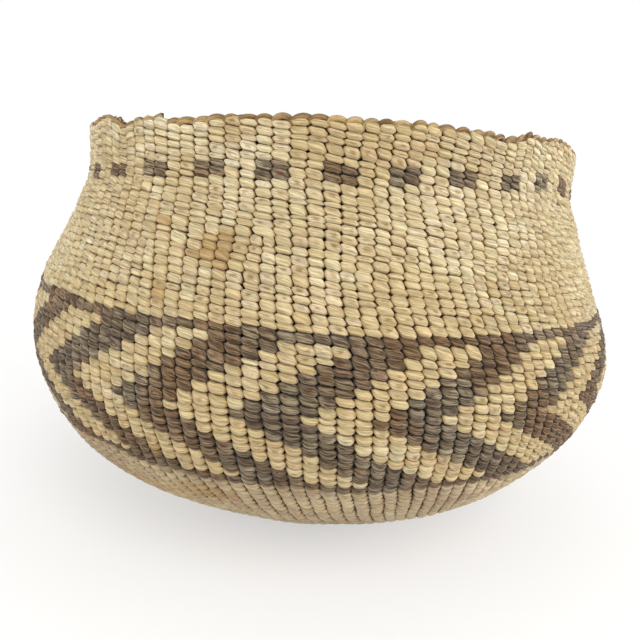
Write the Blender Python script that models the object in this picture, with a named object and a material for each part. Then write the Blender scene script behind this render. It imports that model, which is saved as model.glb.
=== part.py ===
"""Twined basketry bowl, with its flat base on Z = 0 and the bowl's axis on Z.

Lengths are in metres. The wall is built as the basket is: warps that spread from a
crossing under the floor, and weft courses whose strands pass outside and inside them.
Every piece follows one profile, so a place on the wall is a length along that profile
from the centre of the floor, an angle round the axis and a depth in from the outside.
"""
import math

import bmesh
import bpy
from mathutils import Matrix, Vector

# Outline of the outside, from the floor up: the radius and the rise of each station
FLOOR_RADIUS = 0.0250
HEEL_RADIUS = 0.0339
HEEL_RISE = 0.0030
FLANK_RADIUS = 0.0680
FLANK_RISE = 0.0205
BELLY_RADIUS = 0.0801
BELLY_RISE = 0.0264
SHOULDER_RADIUS = 0.0690
SHOULDER_RISE = 0.0336
NECK_RADIUS = 0.0662
NECK_RISE = 0.0075
RIM_RADIUS = 0.0659
RIM_RISE = 0.0109

# The wall: a pass of weft, the warps and a second pass of weft
WEFT_THICKNESS = 0.0010
WARP_THICKNESS = 0.0012
CLEARANCE = 0.0003

# Warps, modelled in bundles of about four
START_RADIUS = 0.0100
START_BUNDLES = 16
FORK_RADIUS = 0.0410
BUNDLE_FILL = 0.62

# Weft courses. A reach is a length along the outline from the centre of the floor
BASE_WEFT_REACH = 0.0300
HEEL_WEFT_REACH = 0.0585
LOWER_FLANK_REACH = 0.0730
BAND_ROW_PITCH = 0.00184
UPPER_ROW_PITCH = 0.00153
BAND_ROWS = 16
BORDER_ROWS = 1
DASH_ROWS = 2
COLLAR_ROWS = 4

# Chevrons of the band, which point to the left as the bowl is seen from the front
CHEVRONS = 19
FIRST_TIP_ANGLE = math.radians(-1.8)
COURSES_ABOVE_TIPS = 7.5
COLUMNS_PER_CHEVRON = 8
LIGHT_COLUMNS = 4

# Warp ends turned over at the rim
RIM_EDGE_HEIGHT = 0.0018
RIM_LOOPS = 42
LOOP_DIP = 0.0005
RIM_INSET = 0.00015

# Fineness of the facets
OUTSIDE_SEGMENTS = 48
INSIDE_SEGMENTS = 32
STATION_STEP = 0.0125
CURVE_STEPS = 24

HALF = 0.5
QUARTER = 0.25
FRONT = math.radians(-90.0)
FULL_TURN = 2.0 * math.pi
MERGE = 1e-6

NATURAL = (0.49, 0.39, 0.22)
NATURAL_WORN = (0.40, 0.31, 0.20)
DARK = (0.17, 0.13, 0.09)
WARP_BROWN = (0.33, 0.24, 0.12)
ROUGH = 0.85


def clear_scene():
    for existing in list(bpy.data.objects):
        bpy.data.objects.remove(existing, do_unlink=True)


def outline_stations():
    """Radius and height of each named station of the outside."""
    pairs = [
        (FLOOR_RADIUS, 0.0),
        (HEEL_RADIUS, HEEL_RISE),
        (FLANK_RADIUS, FLANK_RISE),
        (BELLY_RADIUS, BELLY_RISE),
        (SHOULDER_RADIUS, SHOULDER_RISE),
        (NECK_RADIUS, NECK_RISE),
        (RIM_RADIUS, RIM_RISE),
    ]
    height = 0.0
    stations = []
    for radius, rise in pairs:
        height += rise
        stations.append(Vector((radius, height)))
    return stations


def outline_curve():
    """Points of a smooth curve through the stations, starting at the axis."""
    stations = outline_stations()
    before = Vector((2.0 * FLOOR_RADIUS - HEEL_RADIUS, 0.0))
    after = 2.0 * stations[-1] - stations[-2]
    controls = [before] + stations + [after]
    points = [Vector((0.0, 0.0))]
    for index in range(1, len(controls) - 2):
        start = controls[index]
        end = controls[index + 1]
        chord = (end - start).length
        leave = (end - controls[index - 1]).normalized() * chord
        arrive = (controls[index + 2] - start).normalized() * chord
        if index == 1:
            leave = Vector((chord, 0.0))
        for step in range(CURVE_STEPS):
            t = step / CURVE_STEPS
            points.append(
                start * (2.0 * t**3 - 3.0 * t**2 + 1.0)
                + leave * (t**3 - 2.0 * t**2 + t)
                + end * (3.0 * t**2 - 2.0 * t**3)
                + arrive * (t**3 - t**2)
            )
    points.append(stations[-1])
    return points


OUTLINE = outline_curve()


def outline_lengths():
    """Length along the outline at each of its points."""
    lengths = [0.0]
    for previous, point in zip(OUTLINE, OUTLINE[1:]):
        lengths.append(lengths[-1] + (point - previous).length)
    return lengths


LENGTHS = outline_lengths()
FULL_LENGTH = LENGTHS[-1]


def outline_at(length):
    """Point of the outline at a length along it."""
    length = min(max(length, 0.0), FULL_LENGTH)
    index = 1
    while LENGTHS[index] < length and index < len(LENGTHS) - 1:
        index += 1
    span = LENGTHS[index] - LENGTHS[index - 1]
    share = (length - LENGTHS[index - 1]) / span
    return OUTLINE[index - 1].lerp(OUTLINE[index], share)


def inward_at(length):
    """Direction square to the outline, into the wall."""
    reach = CLEARANCE
    tangent = outline_at(length + reach) - outline_at(length - reach)
    tangent.normalize()
    return Vector((-tangent.y, tangent.x))


def length_at_radius(radius):
    """Length along the outline where it first reaches a radius."""
    index = 1
    while OUTLINE[index].x < radius and index < len(OUTLINE) - 1:
        index += 1
    share = (radius - OUTLINE[index - 1].x) / (OUTLINE[index].x - OUTLINE[index - 1].x)
    return LENGTHS[index - 1] + share * (LENGTHS[index] - LENGTHS[index - 1])


def wall_section(length, depth):
    """Radius and height of a place in the wall."""
    return outline_at(length) + inward_at(length) * depth


def wall_point(length, angle, depth):
    """Place in the wall, with the angle taken from the front of the bowl."""
    section = wall_section(length, depth)
    turn = FRONT + angle
    radius = max(section.x, 0.0)
    return Vector((radius * math.cos(turn), radius * math.sin(turn), section.y))


# Places along the profile, all worked out from the sizes above
BELLY_LENGTH = LENGTHS[1 + 3 * CURVE_STEPS]
BAND_HALF = HALF * BAND_ROWS * BAND_ROW_PITCH
BORDER_HEIGHT = BORDER_ROWS * BAND_ROW_PITCH
BAND_LOW = BELLY_LENGTH - BAND_HALF
BAND_HIGH = BELLY_LENGTH + BAND_HALF
TIP_LENGTH = BAND_HIGH - COURSES_ABOVE_TIPS * BAND_ROW_PITCH
BORDER_LOW = BAND_LOW - BORDER_HEIGHT
BORDER_HIGH = BAND_HIGH + BORDER_HEIGHT
RIM_LOW = FULL_LENGTH - RIM_EDGE_HEIGHT
DASH_HIGH = RIM_LOW - COLLAR_ROWS * UPPER_ROW_PITCH
DASH_LOW = DASH_HIGH - DASH_ROWS * UPPER_ROW_PITCH

# Depths of the layers in from the outside
WARP_OUTSIDE = WEFT_THICKNESS + CLEARANCE
WARP_INSIDE = WARP_OUTSIDE + WARP_THICKNESS
INNER_OUTSIDE = WARP_INSIDE + CLEARANCE
INNER_INSIDE = INNER_OUTSIDE + WEFT_THICKNESS


def steps_between(low, high):
    """Evenly spaced lengths from low to high, both included."""
    count = max(1, math.ceil((high - low) / STATION_STEP))
    return [low + (high - low) * step / count for step in range(count + 1)]


def all_stations():
    """Lengths that every layer bends at, so that the gaps between layers stay even."""
    marks = [FLOOR_RADIUS, BASE_WEFT_REACH, HEEL_WEFT_REACH, LOWER_FLANK_REACH]
    marks += [BORDER_LOW, BAND_LOW, TIP_LENGTH, BAND_HIGH, BORDER_HIGH]
    marks += [DASH_LOW, DASH_HIGH, RIM_LOW]
    marks.sort()
    found = [0.0, START_RADIUS]
    for low, high in zip(marks, marks[1:]):
        found += steps_between(low, high)
    kept = []
    for length in sorted(found):
        if not kept or length - kept[-1] > CLEARANCE:
            kept.append(length)
    return kept


STATIONS = all_stations()


def stations_within(low, high):
    """The shared stations between two lengths, with the two lengths as the ends."""
    inner = [s for s in STATIONS if low + CLEARANCE < s < high - CLEARANCE]
    return [low] + inner + [high]


def make_material(name, colour):
    material = bpy.data.materials.new(name)
    material.use_nodes = True
    shader = material.node_tree.nodes["Principled BSDF"]
    shader.inputs["Base Color"].default_value = (*colour, 1.0)
    shader.inputs["Roughness"].default_value = ROUGH
    shader.inputs["Metallic"].default_value = 0.0
    material.diffuse_color = (*colour, 1.0)
    return material


def finish_object(name, bm, colour):
    """Turn a closed bmesh into the named piece."""
    bmesh.ops.remove_doubles(bm, verts=bm.verts, dist=MERGE)
    bmesh.ops.recalc_face_normals(bm, faces=bm.faces)
    mesh = bpy.data.meshes.new(name)
    bm.to_mesh(mesh)
    bm.free()
    mesh.materials.append(make_material(name + "_fibre", colour))
    piece = bpy.data.objects.new(name, mesh)
    bpy.context.scene.collection.objects.link(piece)
    return piece


def spin_section(section, segments, closed):
    """Turn a section, given as radius and height, about the bowl's axis."""
    bm = bmesh.new()
    verts = [bm.verts.new((max(point.x, 0.0), 0.0, point.y)) for point in section]
    edges = [bm.edges.new(pair) for pair in zip(verts, verts[1:])]
    if closed:
        edges.append(bm.edges.new((verts[-1], verts[0])))
    turn = Matrix.Rotation(FRONT, 4, "Z")
    bmesh.ops.transform(bm, matrix=turn, verts=bm.verts)
    bmesh.ops.spin(
        bm,
        geom=verts + edges,
        cent=(0.0, 0.0, 0.0),
        axis=(0.0, 0.0, 1.0),
        angle=FULL_TURN,
        steps=segments,
        use_merge=True,
    )
    return bm


def weft_ring(name, low, high, outside, inside, segments, colour):
    """A run of weft courses, turned from its section; it closes at the axis from 0."""
    start = low
    if low > 0.0:
        start = low + HALF * CLEARANCE
    lengths = stations_within(start, high - HALF * CLEARANCE)
    section = [wall_section(length, outside) for length in lengths]
    section += [wall_section(length, inside) for length in reversed(lengths)]
    bm = spin_section(section, segments, low > 0.0)
    return finish_object(name, bm, colour)


def new_sheet():
    """An empty sheet that remembers the length and the angle of its points."""
    bm = bmesh.new()
    length_layer = bm.verts.layers.float.new("length")
    angle_layer = bm.verts.layers.float.new("angle")
    return bm, length_layer, angle_layer


def sheet_vert(sheet, length, angle, depth):
    bm, length_layer, angle_layer = sheet
    vert = bm.verts.new(wall_point(length, angle, depth))
    vert[length_layer] = length
    vert[angle_layer] = angle
    return vert


def short_diagonal_pair(sheet, corners):
    """Two triangles over four corners, split along the shorter diagonal."""
    a, b, c, d = corners
    bm = sheet[0]
    if (a.co - c.co).length < (b.co - d.co).length:
        bm.faces.new((a, b, c))
        bm.faces.new((a, c, d))
    else:
        bm.faces.new((a, b, d))
        bm.faces.new((b, c, d))


def thicken_sheet(sheet, depth):
    """Extrude the whole sheet into the wall, down to a depth."""
    bm, length_layer, angle_layer = sheet
    grown = bmesh.ops.extrude_face_region(bm, geom=bm.faces[:])
    for item in grown["geom"]:
        if isinstance(item, bmesh.types.BMVert):
            item.co = wall_point(item[length_layer], item[angle_layer], depth)
    return bm


def chevron(name, column, columns, colour):
    """One chevron of the band: a strip that leans away from its tip, up and down."""
    column_angle = FULL_TURN / (CHEVRONS * COLUMNS_PER_CHEVRON)
    gap = CLEARANCE / BELLY_RADIUS
    edge = HALF * CLEARANCE
    lengths = stations_within(BAND_LOW + edge, BAND_HIGH - edge)
    sheet = new_sheet()
    rows = []
    for length in lengths:
        lean = abs(length - TIP_LENGTH) / BAND_ROW_PITCH
        left = FIRST_TIP_ANGLE + (column + lean) * column_angle
        width = columns * column_angle - 2.0 * gap
        row = []
        for across in (0.0, HALF, 1.0):
            angle = left + gap + across * width
            row.append(sheet_vert(sheet, length, angle, 0.0))
        rows.append(row)
    for lower, upper in zip(rows, rows[1:]):
        for side in range(len(lower) - 1):
            corners = (lower[side], lower[side + 1], upper[side + 1], upper[side])
            short_diagonal_pair(sheet, corners)
    bm = thicken_sheet(sheet, WEFT_THICKNESS)
    return finish_object(name, bm, colour)


def strip_row(sheet, length, centre, half):
    """The two edge points of a bundle of warps at one length."""
    left = sheet_vert(sheet, length, centre - half, WARP_OUTSIDE)
    right = sheet_vert(sheet, length, centre + half, WARP_OUTSIDE)
    return left, right


def run_strip(sheet, start, lengths, centre, half):
    """Carry a bundle of warps from its start pair through the given lengths."""
    bm = sheet[0]
    last = start
    for length in lengths:
        pair = strip_row(sheet, length, centre, half)
        bm.faces.new((last[0], last[1], pair[1], pair[0]))
        last = pair
    return last


def warps(name, colour):
    """The warps: crossed at the start, spread over the floor and forked up the wall."""
    sheet = new_sheet()
    bm = sheet[0]
    fork_length = length_at_radius(FORK_RADIUS)
    top = RIM_LOW - HALF * CLEARANCE
    lower = [s for s in STATIONS if START_RADIUS + CLEARANCE < s < fork_length - CLEARANCE]
    upper = [s for s in STATIONS if fork_length + CLEARANCE < s < top - CLEARANCE]
    upper.append(top)
    spacing = FULL_TURN / START_BUNDLES
    wide = HALF * BUNDLE_FILL * spacing
    narrow = HALF * wide
    aside = QUARTER * spacing
    middle = sheet_vert(sheet, 0.0, 0.0, WARP_OUTSIDE)
    rim_of_start = []
    for index in range(START_BUNDLES):
        centre = index * spacing
        start = strip_row(sheet, START_RADIUS, centre, wide)
        rim_of_start += start
        last = run_strip(sheet, start, lower, centre, wide)
        crotch = sheet_vert(sheet, fork_length, centre, WARP_OUTSIDE)
        left, right = strip_row(sheet, fork_length, centre, wide)
        bm.faces.new((last[0], last[1], right, crotch, left))
        run_strip(sheet, (left, crotch), upper, centre - aside, narrow)
        run_strip(sheet, (crotch, right), upper, centre + aside, narrow)
    for index, vert in enumerate(rim_of_start):
        following = rim_of_start[(index + 1) % len(rim_of_start)]
        bm.faces.new((middle, vert, following))
    thicken_sheet(sheet, WARP_INSIDE)
    return finish_object(name, bm, colour)


def rim_warp_ends(name, colour):
    """The warp ends turned over at the rim: one ring with a low wave of loops."""
    low = RIM_LOW + HALF * CLEARANCE
    outside = RIM_INSET
    inside = INNER_INSIDE - RIM_INSET
    section = [
        wall_section(low, outside),
        wall_section(FULL_LENGTH, outside),
        wall_section(FULL_LENGTH, inside),
        wall_section(low, inside),
    ]
    foot = max(section[0].y, section[3].y)
    segments = 2 * RIM_LOOPS
    bm = spin_section(section, segments, True)
    for vert in bm.verts:
        if vert.co.z > foot + MERGE:
            angle = math.atan2(vert.co.y, vert.co.x) - FRONT
            index = round(angle / FULL_TURN * segments)
            if index % 2:
                vert.co.z -= LOOP_DIP
    return finish_object(name, bm, colour)


def build():
    clear_scene()

    # Weft passes on the outside
    outer = (0.0, WEFT_THICKNESS, OUTSIDE_SEGMENTS)
    weft_ring("base_weft_outside", 0.0, BASE_WEFT_REACH, *outer, NATURAL_WORN)
    weft_ring("heel_weft_outside", BASE_WEFT_REACH, HEEL_WEFT_REACH, *outer, NATURAL_WORN)
    weft_ring("lower_flank_weft_outside", HEEL_WEFT_REACH, LOWER_FLANK_REACH, *outer, NATURAL_WORN)
    weft_ring("upper_flank_weft_outside", LOWER_FLANK_REACH, BORDER_LOW, *outer, NATURAL_WORN)
    weft_ring("dark_border_lower", BORDER_LOW, BAND_LOW, *outer, DARK)
    weft_ring("dark_border_upper", BAND_HIGH, BORDER_HIGH, *outer, DARK)
    weft_ring("shoulder_weft_outside", BORDER_HIGH, DASH_LOW, *outer, NATURAL)
    weft_ring("dash_course_weft_outside", DASH_LOW, DASH_HIGH, *outer, NATURAL)
    weft_ring("collar_weft_outside", DASH_HIGH, RIM_LOW, *outer, NATURAL)

    # Chevrons of light and dark weft between the two borders
    dark_columns = COLUMNS_PER_CHEVRON - LIGHT_COLUMNS
    for index in range(CHEVRONS):
        column = index * COLUMNS_PER_CHEVRON
        number = f"{index + 1:02d}"
        chevron("light_chevron_" + number, column, LIGHT_COLUMNS, NATURAL)
        chevron("dark_chevron_" + number, column + LIGHT_COLUMNS, dark_columns, DARK)

    # Warps, and their ends turned over at the rim
    warps("warps", WARP_BROWN)
    rim_warp_ends("rim_warp_ends", WARP_BROWN)

    # Weft passes on the inside
    inner = (INNER_OUTSIDE, INNER_INSIDE, INSIDE_SEGMENTS)
    weft_ring("base_weft_inside", 0.0, BASE_WEFT_REACH, *inner, NATURAL)
    weft_ring("heel_weft_inside", BASE_WEFT_REACH, HEEL_WEFT_REACH, *inner, NATURAL)
    weft_ring("lower_flank_weft_inside", HEEL_WEFT_REACH, LOWER_FLANK_REACH, *inner, NATURAL)
    weft_ring("upper_flank_weft_inside", LOWER_FLANK_REACH, BORDER_LOW, *inner, NATURAL)
    weft_ring("lower_band_weft_inside", BORDER_LOW, TIP_LENGTH, *inner, NATURAL)
    weft_ring("upper_band_weft_inside", TIP_LENGTH, BORDER_HIGH, *inner, NATURAL)
    weft_ring("shoulder_weft_inside", BORDER_HIGH, DASH_LOW, *inner, NATURAL)
    weft_ring("collar_weft_inside", DASH_LOW, RIM_LOW, *inner, NATURAL)


build()
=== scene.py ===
"""Twined basketry bowl: every stitch, warp and rim loop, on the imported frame.

Places on the wall are given as a length along the outline from the centre of the
floor, an angle from the front of the bowl and a depth in from the outside, in
millimetres and radians. One function turns them into metres in the frame.
"""
import math
from collections import namedtuple
from functools import partial

import bmesh
import bpy
import numpy as np
from mathutils import Matrix, Vector


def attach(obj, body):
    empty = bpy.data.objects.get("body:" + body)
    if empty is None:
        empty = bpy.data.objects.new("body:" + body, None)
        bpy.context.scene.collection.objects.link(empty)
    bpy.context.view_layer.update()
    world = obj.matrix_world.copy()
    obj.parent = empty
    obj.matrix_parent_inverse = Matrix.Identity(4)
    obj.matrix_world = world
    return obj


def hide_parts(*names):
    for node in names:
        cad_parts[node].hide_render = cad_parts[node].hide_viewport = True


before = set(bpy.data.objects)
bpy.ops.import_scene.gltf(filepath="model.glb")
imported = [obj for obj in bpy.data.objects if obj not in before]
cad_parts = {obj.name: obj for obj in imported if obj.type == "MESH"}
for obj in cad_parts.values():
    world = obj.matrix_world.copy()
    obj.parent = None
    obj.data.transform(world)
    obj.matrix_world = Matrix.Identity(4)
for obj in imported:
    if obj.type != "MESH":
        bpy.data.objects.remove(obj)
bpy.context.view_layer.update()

MM = 0.001
FULL_TURN = 2.0 * math.pi

# Outline of the outside as in the CAD: radius and height of each station
STATIONS = (
    (25.0, 0.0),
    (33.9, 3.0),
    (68.0, 23.5),
    (80.1, 49.9),
    (69.0, 83.5),
    (66.2, 91.0),
    (65.9, 101.9),
)
CURVE_STEPS = 60
# How far the outline runs on above the rim, for the loops there
RIM_SPARE = 4.0

# Depths of the layers in from the outside: a stitch's crest stands out, and its root is
# its flat back. The relief is the share of that which it keeps at the flank's foot.
OUTER_CREST = 0.0
OUTER_ROOT = 1.15
WORN_CREST = 0.1
WORN_ROOT = 1.05
WORN_RELIEF = 0.5
FULL_RELIEF = 1.0
INNER_ROOT = 2.6
INNER_CREST = 3.75
WARP_DEPTH = 1.95
WARP_DIAMETER = 1.9

# Courses of stitches from a little below the rim down: their heights, or their number.
# Heights vary by a share, and at most by the limit times that.
SELVAGE_DROP = 0.3
COLLAR_HEIGHTS = (1.6, 1.4, 1.25, 1.6, 1.35)
DASH_HEIGHTS = (1.5, 1.6)
SHOULDER_COURSES = 17
BAND_COURSES = 16
LOWER_COURSE_HEIGHT = 1.75
COURSE_VARIATION = 0.09
COURSE_LIMIT = 1.8

# Lengths along the wall where the band starts and ends, where pieces divide below it,
# and where the innermost course of the floor starts
BAND_TOP = 119.5
BAND_FOOT = 86.7
FLANK_MIDDLE = 72.5
FLANK_FOOT = 58.5
FIRST_COURSE_REACH = 5.2
# Number of shoulder courses in the upper of its two pieces
UPPER_COURSES = 8

# Columns of stitches at the belly. The listed ones join with the next column on the neck.
# Below the band all join in twos, fours and eights. The joins of each kind lie between
# the two lengths given for them. A column narrows as it nears a join and is wider just
# after it, within a reach.
BELLY_COLUMNS = 152
JOINING_COLUMNS = (
    7, 15, 23, 31, 38, 45, 52, 59, 66, 73, 80, 87, 94, 101, 108, 115, 122, 131, 141, 149,
)
NECK_JOINS = (135.0, 137.6)
PAIR_JOINS = (44.0, 66.0)
QUAD_JOINS = (26.0, 38.0)
EIGHT_JOINS = (14.0, 20.0)
JOIN_REACH = 6.0
WIDER_AFTER_JOIN = 0.3
NARROWER_BEFORE_JOIN = 0.35
# Columns widen and narrow in slow waves: their share, and how fast they change
COLUMN_VARIATION = 0.06
COLUMN_DRIFT = 0.05
COLUMN_DRIFT_RANGE = 0.12

# How far the columns stand to the right of the chevron tips: length and degrees
LEAN = ((26.0, 15.4), (86.7, 1.45), (103.9, 0.0), (119.5, -0.86), (148.2, -4.4))
# How far the neck's columns are pushed to the right: angle and push in degrees. The push
# starts at the band's top and is whole from one length on.
NECK_PUSH = (
    (-150.0, 0.0), (-120.0, -2.0), (-90.0, -4.5), (-70.0, -6.0),
    (-51.7, -6.1), (-41.2, -3.9), (-30.2, -3.1), (-19.8, -1.4),
    (-9.2, -0.7), (1.7, 0.0), (12.6, -0.3), (23.3, 0.1),
    (34.1, 0.5), (45.2, -1.0), (56.1, -1.5), (80.0, 0.0),
)
NECK_PUSH_WHOLE = 145.0

# Chevrons and dashes
CHEVRON_COLUMNS = 8
LIGHT_COLUMNS = 4
TIP_COURSE = 7
TIP_ANGLE = math.radians(-2.05)
DASH_ANGLE = math.radians(1.6)
DASH_REPEAT = 4
DASH_COLUMNS = 2

SEED = 1907
rng = np.random.default_rng(SEED)


def graded(table, value, period=None):
    """Value read off a table of (place, value) pairs, on a straight line between two."""
    places, values = zip(*table)
    return np.interp(value, places, values, period=period)


def turn_from(start, angle, full=FULL_TURN):
    """Turn from one angle to another by the shorter way, below 0 where it goes left."""
    return (angle - start + 0.5 * full) % full - 0.5 * full


def smooth_step(value):
    """0 below 0 and 1 above 1, with a soft rise between."""
    t = np.clip(value, 0.0, 1.0)
    return t * t * (3.0 - 2.0 * t)


def spread(low, high, count):
    """Random values between two limits."""
    return low + (high - low) * rng.random(count)


# Outline and wall


def outline_table():
    """Length, place and direction along the outside, from the centre of the floor."""
    stations = [np.array(pair) for pair in STATIONS]
    before = np.array((2.0 * stations[0][0] - stations[1][0], 0.0))
    after = 2.0 * stations[-1] - stations[-2]
    controls = [before] + stations + [after]
    points = [np.array((0.0, 0.0))]
    for index in range(1, len(controls) - 2):
        start = controls[index]
        end = controls[index + 1]
        chord = np.linalg.norm(end - start)
        leave = end - controls[index - 1]
        leave = leave / np.linalg.norm(leave) * chord
        arrive = controls[index + 2] - start
        arrive = arrive / np.linalg.norm(arrive) * chord
        if index == 1:
            leave = np.array((chord, 0.0))
        for step in range(CURVE_STEPS):
            t = step / CURVE_STEPS
            points.append(
                start * (2.0 * t**3 - 3.0 * t**2 + 1.0)
                + leave * (t**3 - 2.0 * t**2 + t)
                + end * (3.0 * t**2 - 2.0 * t**3)
                + arrive * (t**3 - t**2)
            )
    points.append(stations[-1])
    last_step = points[-1] - points[-2]
    points.append(points[-1] + last_step / np.linalg.norm(last_step) * RIM_SPARE)
    points = np.array(points)
    steps = np.linalg.norm(np.diff(points, axis=0), axis=1)
    lengths = np.concatenate(([0.0], np.cumsum(steps)))
    tangent = np.gradient(points, lengths, axis=0)
    tangent /= np.linalg.norm(tangent, axis=1)[:, None]
    return lengths, points, tangent


LENGTHS, OUTLINE, TANGENT = outline_table()
RIM_LENGTH = LENGTHS[-2]
TOP_LENGTH = RIM_LENGTH - SELVAGE_DROP

# Slow swells of the wall: waves round the bowl, phase, drift along the wall and size.
# They are whole from a height above the floor on.
SWELLS = (
    (2, 0.4, 0.010, 0.30),
    (3, 2.1, 0.020, 0.22),
    (5, 4.0, -0.035, 0.14),
    (9, 1.2, 0.060, 0.10),
    (14, 5.1, -0.090, 0.07),
    (23, 3.3, 0.140, 0.05),
)
SWELL_HEIGHT = 12.0
# Rises and dips of the rim: angle and reach in degrees, and height. They fade out down
# the wall to one length.
RIM_RISES = (
    (-52.5, 4.2, 0.8),
    (-43.5, 3.2, -1.4),
    (-27.5, 6.0, -0.4),
    (-3.0, 4.0, 0.5),
    (16.0, 14.0, 0.6),
    (38.5, 2.5, 1.1),
    (50.0, 10.0, 1.6),
    (95.0, 6.0, 0.5),
    (131.0, 5.0, -0.6),
    (170.0, 7.0, 0.5),
    (-150.0, 5.0, -0.5),
    (-110.0, 6.0, 0.4),
)
RIM_RISE_START = 146.0
# How far the wall strays to the right of the bowl's axis: length and stray
STRAY = (
    (25.0, 0.0), (45.0, 0.8), (60.0, 0.1), (75.0, -0.8), (92.0, 0.1),
    (106.0, 0.4), (122.0, -0.6), (140.0, 0.3), (158.0, 0.3),
)


def radius_at(length):
    """Radius of the outside at a length."""
    return np.interp(length, LENGTHS, OUTLINE[:, 0])


def rises_at(angle, rises):
    """How far something stands above or below its mean line at an angle."""
    rise = np.zeros_like(angle)
    for centre, reach, height in rises:
        away = turn_from(centre, np.degrees(angle), 360.0)
        rise = rise + height * np.exp(-((away / reach) ** 2))
    return rise


def wall(length, angle, depth):
    """Places in the wall, in metres, from arrays of length, angle and depth."""
    share = smooth_step((length - RIM_RISE_START) / (RIM_LENGTH - RIM_RISE_START))
    length = length + rises_at(angle, RIM_RISES) * share
    radius = radius_at(length)
    height = np.interp(length, LENGTHS, OUTLINE[:, 1])
    out_r = np.interp(length, LENGTHS, TANGENT[:, 1])
    out_z = -np.interp(length, LENGTHS, TANGENT[:, 0])
    swell = np.zeros_like(radius + angle)
    for waves, phase, drift, size in SWELLS:
        swell = swell + size * np.sin(waves * angle + phase + drift * length)
    depth = depth + swell * smooth_step(height / SWELL_HEIGHT)
    radius = radius - out_r * depth
    height = height - out_z * depth
    x = radius * np.sin(angle) + graded(STRAY, length)
    y = -radius * np.cos(angle)
    return np.stack((x, y, height), axis=-1) * MM


# Courses

# One row of stitches: its zone, its number in the zone and its reach along the wall
Course = namedtuple("Course", "zone number low high")


def uneven_heights(total, count):
    """Course heights that vary as hand-drawn weft does, and add up to the total."""
    chance = rng.standard_normal(count).clip(-COURSE_LIMIT, COURSE_LIMIT)
    parts = 1.0 + COURSE_VARIATION * chance
    return parts * total / parts.sum()


def lay_courses():
    """Every course from the rim down to the start."""
    courses = []

    def lay(zone, heights, top):
        for number, height in enumerate(heights):
            courses.append(Course(zone, number, top - height, top))
            top -= height
        return top

    pitch = (BAND_TOP - BAND_FOOT) / (BAND_COURSES + 2)
    top = lay("collar", COLLAR_HEIGHTS, TOP_LENGTH)
    top = lay("dash", DASH_HEIGHTS, top)
    top = lay("shoulder", uneven_heights(top - BAND_TOP, SHOULDER_COURSES), top)
    top = lay("dark_border", (pitch,), top)
    top = lay("band", uneven_heights(pitch * BAND_COURSES, BAND_COURSES), top)
    top = lay("dark_border", (pitch,), top)
    below = top - FIRST_COURSE_REACH
    count = round(below / LOWER_COURSE_HEIGHT)
    lay("floor", uneven_heights(below, count), top)
    return courses


COURSES = lay_courses()


# Columns

# Length of each join, by the number of its first column over the columns that it joins
pair_joins = spread(*PAIR_JOINS, BELLY_COLUMNS // 2)
quad_joins = spread(*QUAD_JOINS, BELLY_COLUMNS // 4)
eight_joins = spread(*EIGHT_JOINS, BELLY_COLUMNS // 8)
neck_joins = dict(zip(JOINING_COLUMNS, spread(*NECK_JOINS, len(JOINING_COLUMNS))))
floor_joins = ((2, pair_joins), (4, quad_joins), (8, eight_joins))
column_phase = rng.random(BELLY_COLUMNS) * FULL_TURN
column_drift = COLUMN_DRIFT + COLUMN_DRIFT_RANGE * rng.random(BELLY_COLUMNS)


def near_join(distance):
    """1 at a join, falling to 0 at the reach of its influence."""
    return max(0.0, 1.0 - abs(distance) / JOIN_REACH)


def neck_weight(index, length):
    """Share of the width that a column takes above the band, 0 where it has joined."""
    join = neck_joins.get(index, neck_joins.get(index - 1))
    if join is None:
        return 1.0
    if length <= join:
        return 1.0 - NARROWER_BEFORE_JOIN * near_join(length - join)
    if index in neck_joins:
        return 1.0 + WIDER_AFTER_JOIN * near_join(length - join)
    return 0.0


def lower_weight(index, length):
    """Share of the width that a column takes from the band down, 0 where it has joined."""
    size = 1
    weight = 1.0
    for joined, joins in floor_joins:
        join = joins[index // joined]
        if length >= join:
            weight *= 1.0 - NARROWER_BEFORE_JOIN * near_join(length - join)
            break
        size = joined
        weight = 1.0 + WIDER_AFTER_JOIN * near_join(length - join)
    return 0.0 if index % size else weight


def columns_at(length):
    """First base column, left angle and right angle of each column at a length."""
    weigh = neck_weight if length > BAND_TOP else lower_weight
    weights = np.array([weigh(index, length) for index in range(BELLY_COLUMNS)])
    firsts = np.flatnonzero(weights)
    weave = np.sin(column_phase[firsts] + column_drift[firsts] * length)
    weights = weights[firsts] * (1.0 + COLUMN_VARIATION * weave)
    edges = np.concatenate(([0.0], np.cumsum(weights))) / weights.sum() * FULL_TURN
    edges = edges + TIP_ANGLE + math.radians(graded(LEAN, length))
    push = graded(NECK_PUSH, np.degrees(edges), period=360.0)
    share = smooth_step((length - BAND_TOP) / (NECK_PUSH_WHOLE - BAND_TOP))
    edges = edges + np.radians(push * share)
    return firsts, edges[:-1], edges[1:]


# Stitch layout

# Course lines wander slowly round the bowl, in waves whose number lies between two, and
# thicken and thin from stitch to stitch
WANDER_COUNT = 7
WANDER_WAVES = (2, 23)
WANDER_REACH = 0.14
WANDER_DRIFT = 0.22
UNEVEN_SPOTS = 152
UNEVEN_REACH = 0.25
UNEVEN_LIMIT = 1.7
wander_number = rng.integers(*WANDER_WAVES, WANDER_COUNT)
wander_phase = rng.random(WANDER_COUNT) * FULL_TURN
wander_drift = WANDER_DRIFT * rng.standard_normal(WANDER_COUNT)
uneven = rng.standard_normal((len(COURSES) + 1, UNEVEN_SPOTS)).clip(-UNEVEN_LIMIT, UNEVEN_LIMIT)
uneven_angles = np.arange(UNEVEN_SPOTS) / UNEVEN_SPOTS * FULL_TURN

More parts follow.
